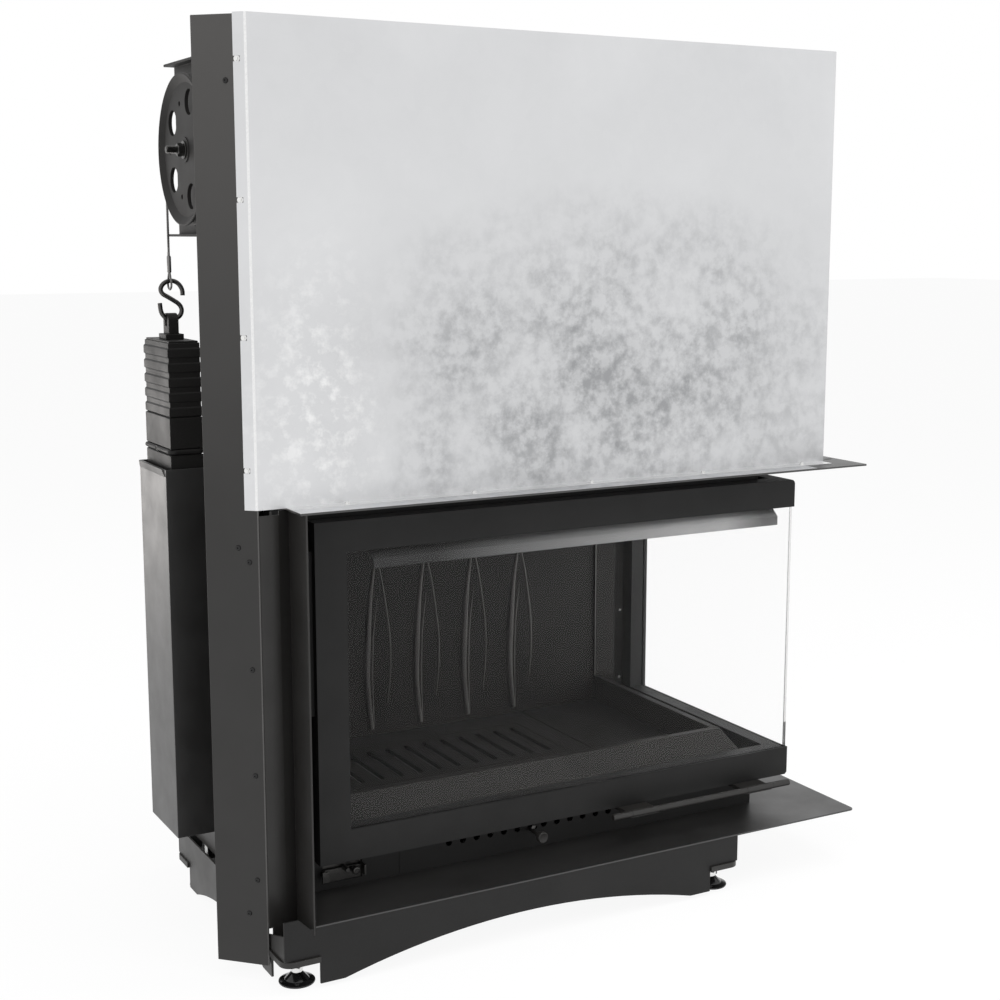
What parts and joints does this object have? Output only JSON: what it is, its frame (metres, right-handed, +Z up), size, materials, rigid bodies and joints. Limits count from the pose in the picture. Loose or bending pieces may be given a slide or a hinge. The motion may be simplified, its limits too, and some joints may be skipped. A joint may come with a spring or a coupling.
{
  "type": "fireplace insert",
  "caption": "Corner fireplace insert with an L-shaped glass door that lifts into a galvanised hood, balanced by counterweights on cables and pulleys, on a low base with levelling feet.",
  "frame": {"origin": "centre of the bounding box, on the floor under the feet", "axes": "+Z up, +X to the right along the front, +Y from the front to the back"},
  "size_m": [1.251, 0.711, 1.523],
  "materials": {
    "frame_paint": "satin black paint",
    "casing_paint": "matt heat-proof black paint",
    "door_paint": "matt heat-proof black paint",
    "cast": "grey cast plates",
    "galvanised": "galvanised sheet with a faint mottle",
    "zinc": "zinc-plated screws, nuts and studs",
    "pane": "clear ceramic glass",
    "seal": "woven glass-fibre strip",
    "cable": "twisted steel wire",
    "weight_paint": "black-painted steel blocks",
    "steel": "plain steel"
  },
  "bodies": {
    "frame": {"base_front": "casing_paint", "base_rear": "casing_paint", "base_left": "frame_paint", "base_right": "frame_paint", "foot_plates": "frame_paint", "lower_casing_plate": "frame_paint", "upper_casing_plate": "frame_paint", "front_air_panel": "casing_paint", "side_air_panel": "casing_paint", "casing_floor": "casing_paint", "casing_left_wall": "frame_paint", "casing_back_wall": "casing_paint", "front_frame": "casing_paint", "smoke_box": "casing_paint", "flue_collar": "casing_paint", "air_inlet_collar": "steel", "hearth_deck": "casing_paint", "hearth_surround": "cast", "hearth_floor": "cast", "back_liner": "cast", "left_liner": "cast", "baffle": "cast", "left_post": "frame_paint", "left_guide": "casing_paint", "left_trim_strip": "frame_paint", "rear_right_post": "frame_paint", "hood_front_sheet": "galvanised", "hood_side_sheet": "galvanised", "zinc_screws": "zinc", "post_rivets": "casing_paint", "pulley_brackets": "frame_paint", "pulley_axles": "zinc", "weight_channel_left": "frame_paint", "weight_channel_rear": "frame_paint", "cleaning_latch": "steel", "pulley_cables": "cable", "door_cables": "cable", "weight_cables": "cable"},
    "door": {"door_frame": "door_paint", "front_glass": "pane", "side_glass": "pane", "glass_deflector": "door_paint", "door_seal": "seal", "handle_bar": "frame_paint", "handle_mounts": "frame_paint", "door_carriages": "door_paint"},
    "pulley_left": {"pulley_left": "frame_paint"},
    "pulley_rear": {"pulley_rear": "frame_paint"},
    "weight_left": {"weight_left": "weight_paint", "hook_left": "steel"},
    "weight_rear": {"weight_rear": "weight_paint", "hook_rear": "steel"},
    "air_control": {"air_slider": "steel", "air_knob": "casing_paint"},
    "grate": {"grate": "cast"},
    "ash_pan": {"ash_pan": "steel"},
    "foot_front_left": {"foot_front_left": "zinc"},
    "foot_front_right": {"foot_front_right": "zinc"},
    "foot_rear_left": {"foot_rear_left": "zinc"},
    "foot_rear_right": {"foot_rear_right": "zinc"}
  },
  "joints": [
    {"name": "door_lift", "type": "slide", "parent": "frame", "child": "door", "axis": [0, 0, 1], "range_m": [0, 0.56], "deforming": ["door_cables"]},
    {"name": "weight_left_drop", "type": "slide", "parent": "frame", "child": "weight_left", "axis": [0, 0, 1], "range_m": [-0.56, 0], "deforming": ["weight_cables"]},
    {"name": "weight_rear_drop", "type": "slide", "parent": "frame", "child": "weight_rear", "axis": [0, 0, 1], "range_m": [-0.56, 0]},
    {"name": "pulley_left_spin", "type": "hinge", "parent": "frame", "child": "pulley_left", "pos_m": [-0.5855, -0.1117, 1.33], "axis": [1, 0, 0], "range_deg": [-295, 0]},
    {"name": "pulley_rear_spin", "type": "hinge", "parent": "frame", "child": "pulley_rear", "pos_m": [0.4032, 0.3155, 1.33], "axis": [0, 1, 0], "range_deg": [-295, 0]},
    {"name": "air_slide", "type": "slide", "parent": "frame", "child": "air_control", "axis": [1, 0, 0], "range_m": [0, 0.01375]},
    {"name": "grate_lift", "type": "slide", "parent": "frame", "child": "grate", "axis": [0, 0, 1], "range_m": [0, 0.2]},
    {"name": "ash_pan_lift", "type": "slide", "parent": "frame", "child": "ash_pan", "axis": [0, 0, 1], "range_m": [0, 0.2]},
    {"name": "foot_front_left_adjust", "type": "slide", "parent": "frame", "child": "foot_front_left", "axis": [0, 0, -1], "range_m": [0, 0.015]},
    {"name": "foot_front_right_adjust", "type": "slide", "parent": "frame", "child": "foot_front_right", "axis": [0, 0, -1], "range_m": [0, 0.015]},
    {"name": "foot_rear_left_adjust", "type": "slide", "parent": "frame", "child": "foot_rear_left", "axis": [0, 0, -1], "range_m": [0, 0.015]},
    {"name": "foot_rear_right_adjust", "type": "slide", "parent": "frame", "child": "foot_rear_right", "axis": [0, 0, -1], "range_m": [0, 0.015]}
  ],
  "couplings": [
    {"joint": "weight_left_drop", "follows": "door_lift", "ratio": -1},
    {"joint": "weight_rear_drop", "follows": "door_lift", "ratio": -1},
    {"joint": "pulley_left_spin", "follows": "door_lift", "rad_per_m": -9.0662},
    {"joint": "pulley_rear_spin", "follows": "door_lift", "rad_per_m": -9.0662},
    {"joint": "ash_pan_lift", "follows": "grate_lift", "ratio": 1}
  ]
}
